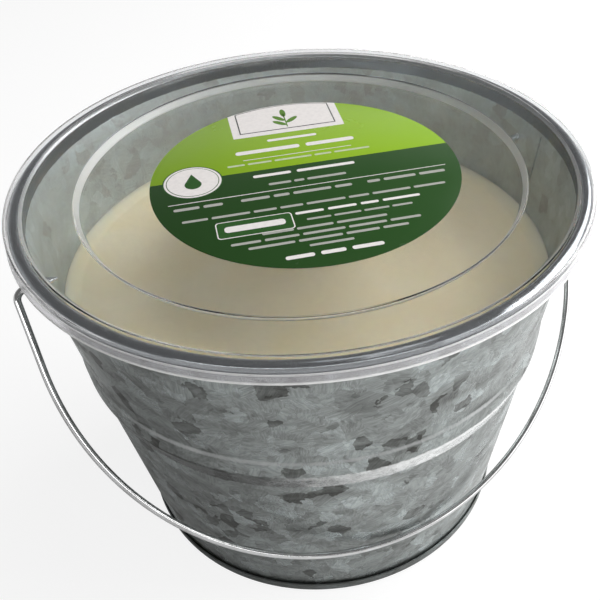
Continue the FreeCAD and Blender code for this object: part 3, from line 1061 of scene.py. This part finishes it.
class BuildLabel(bpy.types.Operator):
    """Builds the round label with its fields of colour and plain printed marks"""

    bl_idname = "candle_bucket.label"
    bl_label = "Label"

    def execute(self, context):
        settings = context.scene.candle_bucket
        sizes = settings.label
        finish = settings.finish
        self.sizes = sizes
        self.top = cad_high("lid_label").z
        self.inks = (
            label_material(sizes, finish),
            ink_material("white print", finish.paper),
            ink_material("green print", (0.03, 0.105, 0.022)),
            ink_material("grey print", (0.09, 0.09, 0.095)),
            ink_material("leaf print", (0.13, 0.27, 0.05)),
            ink_material("fine print on dark", blend(finish.paper, finish.dark_green, 0.5)),
            ink_material("fine print on light", blend(finish.paper, finish.light_green, 0.5)))
        label = self.disc()
        marks = [self.panel(0, 0.0, WHITE, 1), self.panel(2.1, 0.3, GREY, 2),
                 self.panel(2.45, 0.65, WHITE, 4)]
        marks += self.leaf_spray()
        marks += self.badge()
        for height, tall, bars in PRINT_ROWS:
            slot, drawn = WHITE, 0.62 * tall
            if tall < FINE_PRINT:
                slot = FINE_ON_LIGHT if height * MM > sizes.split else FINE_ON_DARK
                drawn = 0.8 * tall
            for left, right in bars:
                marks.append(self.bar((left + right) / 2, height, right - left, drawn,
                                      0.4 * drawn, slot))
        for height, left, right in PRINT_RULES:
            marks.append(self.bar((left + right) / 2, height, right - left, RULE_WIDTH, 0))
        marks += self.boxed_bar()
        join(label, marks)
        label.name = "label"
        smooth(label, 30)
        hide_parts("lid_label")
        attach(label, "lid")
        return {"FINISHED"}

    def disc(self):
        """The label itself, with a slightly eased edge."""
        bottom = cad_low("lid_label").z
        label = flat_circle(
            240, self.sizes.radius, (LABEL_MIDDLE.x, LABEL_MIDDLE.y, bottom))
        edit_all()
        extrude((0, 0, self.top - bottom))
        bpy.ops.mesh.bevel(offset=0.04 * MM, segments=2)
        close_mesh()
        coat(label, *self.inks)
        return label

    def place_mark(self, mark, layer, slot):
        """Turns a flat mark to the print's line, lays it on the label and inks it."""
        edit_all()
        turn_selected(self.sizes.turn)
        bpy.ops.transform.translate(
            value=(LABEL_MIDDLE.x, LABEL_MIDDLE.y, self.top + layer * self.sizes.ink))
        leave_edit()
        coat(mark, *self.inks)
        give_faces(mark, slot, lambda centre, normal: True)
        return mark

    def bar(self, x, y, width, tall, rounding, slot=WHITE, layer=1):
        """One plain printed bar, in millimetres from the label's middle."""
        deselect()
        bpy.ops.mesh.primitive_plane_add(size=MM, location=(x * MM, y * MM, 0))
        mark = settled(bpy.context.active_object, (width, tall, 1))
        if rounding:
            edit_all()
            bpy.ops.mesh.bevel(offset=rounding * MM, segments=4, affect="VERTICES")
            leave_edit()
        return self.place_mark(mark, layer, slot)

    def panel(self, inset, trim, slot, layer):
        """The pale panel that runs to the label's edge, or its border line."""
        mark = flat_circle(240, self.sizes.radius - (0.06 + trim) * MM)
        half, foot = (PANEL_HALF - inset) * MM, (PANEL_FOOT + inset) * MM
        bpy.ops.object.mode_set(mode="EDIT")
        for side, normal in (((-half, 0, 0), (1, 0, 0)), ((half, 0, 0), (-1, 0, 0)),
                             ((0, foot, 0), (0, 1, 0))):
            bpy.ops.mesh.select_all(action="SELECT")
            bpy.ops.mesh.bisect(plane_co=side, plane_no=normal, clear_inner=True)
        leave_edit()
        return self.place_mark(mark, layer, slot)

    def leaf_spray(self):
        """A plain spray of leaves on the panel."""
        marks = [self.bar(0, 30.9, 0.35, 8.0, 0.1, LEAF, 5)]
        for x, y, lean in ((-1.9, 29.6, 48), (1.9, 30.9, -48), (-1.7, 32.4, 40), (0, 35.4, 0)):
            leaf = flat_circle(28, 2.3 * MM)
            edit_all()
            bpy.ops.transform.resize(value=(0.36, 1, 1))
            turn_selected(math.radians(lean))
            bpy.ops.transform.translate(value=(x * MM, y * MM, 0))
            leave_edit()
            marks.append(self.place_mark(leaf, 5, LEAF))
        return marks

    def badge(self):
        """The white round badge with a dark outline and a drop on it."""
        marks = []
        x, y = BADGE[0] * MM, BADGE[1] * MM
        for layer, (radius, slot) in enumerate(
                ((7.9, GREEN), (7.55, WHITE), (6.95, GREEN), (6.75, WHITE)), 1):
            ring = flat_circle(72, MM, (x, y, 0), scale=(radius, radius, 1))
            marks.append(self.place_mark(ring, layer, slot))
        drop = flat_circle(40, 2.2 * MM)
        bpy.ops.object.mode_set(mode="EDIT")
        bpy.ops.mesh.select_all(action="DESELECT")
        leave_edit()
        for vertex in drop.data.vertices:
            vertex.select = vertex.co.y > 2.19 * MM
        bpy.ops.object.mode_set(mode="EDIT")
        bpy.ops.transform.translate(
            value=(0, 3.1 * MM, 0), use_proportional_edit=True, proportional_size=2.6 * MM,
            proportional_edit_falloff="SHARP")
        bpy.ops.mesh.select_all(action="SELECT")
        bpy.ops.transform.translate(value=(x, 2.9 * MM, 0))
        leave_edit()
        marks.append(self.place_mark(drop, 5, GREEN))
        return marks

    def boxed_bar(self):
        """A bar in a rounded outline."""
        return [
            self.bar(*BOX, 19.0, 7.2, 1.0, WHITE, 1),
            self.bar(*BOX, 18.4, 6.6, 0.8, GREEN, 2),
            self.bar(*BOX, 15.0, 2.5, 0.9, WHITE, 3),
        ]


class BuildBail(bpy.types.Operator):
    """Builds the wire bail, hanging at rest"""

    bl_idname = "candle_bucket.bail"
    bl_label = "Bail"

    def execute(self, context):
        settings = context.scene.candle_bucket
        sizes = settings.bail
        low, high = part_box("bail_handle")
        half = (high.x - low.x) / 2 - sizes.wire_radius
        tip = wall_radius(settings.bucket, PIVOT.z) - sizes.tail
        drop = sizes.arm + half
        reach = PIVOT.y - low.y - sizes.wire_radius
        bail = self.bent_wire(sizes, half, tip)
        edit_all()
        turn_selected(-math.asin(reach / drop), "X")
        bpy.ops.transform.translate(value=PIVOT)
        close_mesh()
        smooth(bail, 50)
        coat(bail, wire_material())
        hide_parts("bail_handle")
        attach(bail, "bail")
        return {"FINISHED"}

    def bent_wire(self, sizes, half, tip, nipped=0.22):
        """The wire in the plane of X and -Z: tail, bend, arm, half circle and back."""
        wire = flat_circle(20, sizes.wire_radius, (-tip, 0, 0), (0, math.pi / 2, 0))
        wire.name = "bail"
        tail = half - tip - sizes.bend - sizes.nip
        straight = sizes.arm - sizes.bend
        edit_all()
        bpy.ops.transform.resize(value=(1, 1, nipped))
        extrude((-sizes.nip, 0, 0))
        bpy.ops.transform.resize(value=(1, 1, 1 / nipped))
        extrude((-tail, 0, 0))
        self.bend((-half + sizes.bend, 0, -sizes.bend), math.pi / 2, 10)
        extrude((0, 0, -straight))
        self.bend((0, 0, -sizes.arm), math.pi, 120)
        extrude((0, 0, straight))
        self.bend((half - sizes.bend, 0, -sizes.bend), math.pi / 2, 10)
        extrude((-tail, 0, 0))
        extrude((-sizes.nip, 0, 0))
        bpy.ops.transform.resize(value=(1, 1, nipped))
        leave_edit()
        return wire

    def bend(self, centre, turn, steps):
        """Bends the wire's end round a centre."""
        bpy.ops.mesh.spin(steps=steps, angle=turn, center=centre, axis=(0, 1, 0))


# Soft lamps: name, place, width, height and power.
LAMPS = (
    ("key light", (0.57, -0.08, 0.41), 0.8, 0.4, 6.1),
    ("fill light", (-0.33, -0.62, 0.55), 1.3, 0.15, 2.3),
    ("side light", (0.43, -0.52, 0.26), 0.5, 0.4, 1.0),
    ("top light", (0.15, 0.0, 0.78), 0.4, 0.25, 0.5),
)


class BuildStage(bpy.types.Operator):
    """Builds the plain floor, the soft lights and the camera"""

    bl_idname = "candle_bucket.stage"
    bl_label = "Stage"

    def execute(self, context):
        self.floor()
        self.world(context.scene)
        for lamp in LAMPS:
            self.lamp(*lamp)
        self.camera(context.scene)
        return {"FINISHED"}

    def floor(self):
        """A white floor that keeps the object's shadow."""
        deselect()
        bpy.ops.mesh.primitive_plane_add(size=8, location=(0, 0, -0.02 * MM))
        floor = bpy.context.active_object
        floor.name = "floor"
        material, tree, shader = new_material("white floor")
        path = node(tree, "LightPath")
        direct = math_node(tree, "MAXIMUM", path["Is Camera Ray"], path["Is Transmission Ray"])
        direct = math_node(tree, "MULTIPLY", direct, self.unspread(tree, path))
        base = mix_node(tree, path["Is Glossy Ray"], grey(0.78), grey(0.88))
        feed(tree, shader["Base Color"], mix_node(tree, direct, base, grey(0.22)))
        feed(tree, shader["Emission Color"], mix_node(tree, direct, grey(0.0), grey(0.83)))
        set_values(shader, Emission_Strength=1.0, Roughness=0.9, Specular_IOR_Level=0.0)
        lay_out(tree)
        coat(floor, material)

    def unspread(self, tree, path):
        """One for light that no matt surface has spread yet."""
        return math_node(tree, "LESS_THAN", path["Diffuse Depth"], 0.5)

    def world(self, scene):
        """Even white surroundings, plain for the lighting and full white when seen."""
        world = bpy.data.worlds.new("white room")
        scene.world = world
        world.use_nodes = True
        tree = world.node_tree
        tree.nodes.clear()
        path = node(tree, "LightPath")
        sky = axes_node(tree, node(tree, "TexCoord")["Generated"])
        overhead = range_node(tree, sky["Z"], 0.05, 0.45, 1.0, 0.1)
        mirrored = math_node(tree, "MAXIMUM", path["Is Glossy Ray"], path["Is Transmission Ray"])
        mirrored = math_node(tree, "MULTIPLY", mirrored, overhead)
        seen = math_node(tree, "MAXIMUM", path["Is Camera Ray"], mirrored)
        seen = math_node(tree, "MULTIPLY", seen, self.unspread(tree, path))
        back = node(tree, "Background", inputs={
            "Color": grey(1.0), "Strength": math_node(tree, "MULTIPLY_ADD", seen, 0.9, 0.1)})
        output = tree.nodes.new("ShaderNodeOutputWorld")
        tree.links.new(back["Background"], output.inputs["Surface"])
        lay_out(tree)

    def lamp(self, name, spot, width, height, power):
        """A soft rectangular lamp aimed at the bucket."""
        deselect()
        bpy.ops.object.light_add(type="AREA", location=spot)
        lamp = bpy.context.active_object
        lamp.name = name
        lamp.data.shape = "RECTANGLE"
        lamp.data.size = width
        lamp.data.size_y = height
        lamp.data.energy = power
        aim = Vector((0, 0, 0.07)) - Vector(spot)
        lamp.rotation_euler = aim.to_track_quat("-Z", "Y").to_euler()

    def camera(self, scene):
        """The photograph's camera, worked out for a square picture."""
        azimuth, height, distance = math.radians(-22.88), math.radians(30.30), 0.2239
        pan, tilt, roll = 0.046, -0.212, math.radians(-3.97)
        focal, middle_x, middle_y, picture = 841.3, 353.0, 345.1, 600
        target = Vector((0, 0, cad_high("lid").z))
        back = Vector((math.sin(azimuth) * math.cos(height),
                       -math.cos(azimuth) * math.cos(height), math.sin(height)))
        right = Vector((math.cos(azimuth), math.sin(azimuth), 0))
        up = right.cross(-back)
        ahead = (-back + math.tan(pan) * right + math.tan(tilt) * up).normalized()
        side = ahead.cross(up).normalized()
        top = side.cross(ahead)
        turned_side = math.cos(roll) * side + math.sin(roll) * top
        turned_top = -math.sin(roll) * side + math.cos(roll) * top
        spot = target + back * distance
        bpy.ops.object.camera_add(location=spot)
        camera = bpy.context.active_object
        camera.name = "camera"
        rows = Matrix((turned_side, turned_top, -ahead)).transposed()
        camera.matrix_world = Matrix.Translation(spot) @ rows.to_4x4()
        camera.data.sensor_width = 36
        camera.data.lens = focal / picture * 36
        camera.data.shift_x = (picture / 2 - middle_x) / picture
        camera.data.shift_y = (middle_y - picture / 2) / picture
        camera.data.clip_start = 0.01
        scene.camera = camera
        scene.view_settings.view_transform = "Standard"


class CandleBucketPanel(bpy.types.Panel):
    """Lists the steps that build the candle bucket"""

    bl_idname = "VIEW3D_PT_candle_bucket"
    bl_label = "Candle bucket"
    bl_space_type = "VIEW_3D"
    bl_region_type = "UI"
    bl_category = "Candle bucket"

    def draw(self, context):
        for step in STEPS:
            self.layout.operator(step.bl_idname)
        settings = context.scene.candle_bucket
        for part in settings.__annotations__:
            box = self.layout.box()
            box.label(text=part.title())
            group = getattr(settings, part)
            for name in group.__annotations__:
                box.prop(group, name)


STEPS = (BuildWall, BuildBase, BuildCandle, BuildLid, BuildLabel, BuildBail, BuildStage)
GROUPS = (BucketSizes, CandleSizes, LidSizes, LabelSizes, BailSizes, Finishes, CandleBucket)


def register():
    for kind in (*GROUPS, *STEPS, CandleBucketPanel):
        bpy.utils.register_class(kind)
    bpy.types.Scene.candle_bucket = PointerProperty(type=CandleBucket)


def unregister():
    del bpy.types.Scene.candle_bucket
    for kind in reversed((*GROUPS, *STEPS, CandleBucketPanel)):
        bpy.utils.unregister_class(kind)


def main():
    register()
    bpy.ops.candle_bucket.wall()
    bpy.ops.candle_bucket.base()
    bpy.ops.candle_bucket.candle()
    bpy.ops.candle_bucket.lid()
    bpy.ops.candle_bucket.label()
    bpy.ops.candle_bucket.bail()
    bpy.ops.candle_bucket.stage()
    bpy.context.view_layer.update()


if __name__ == "__main__":
    main()
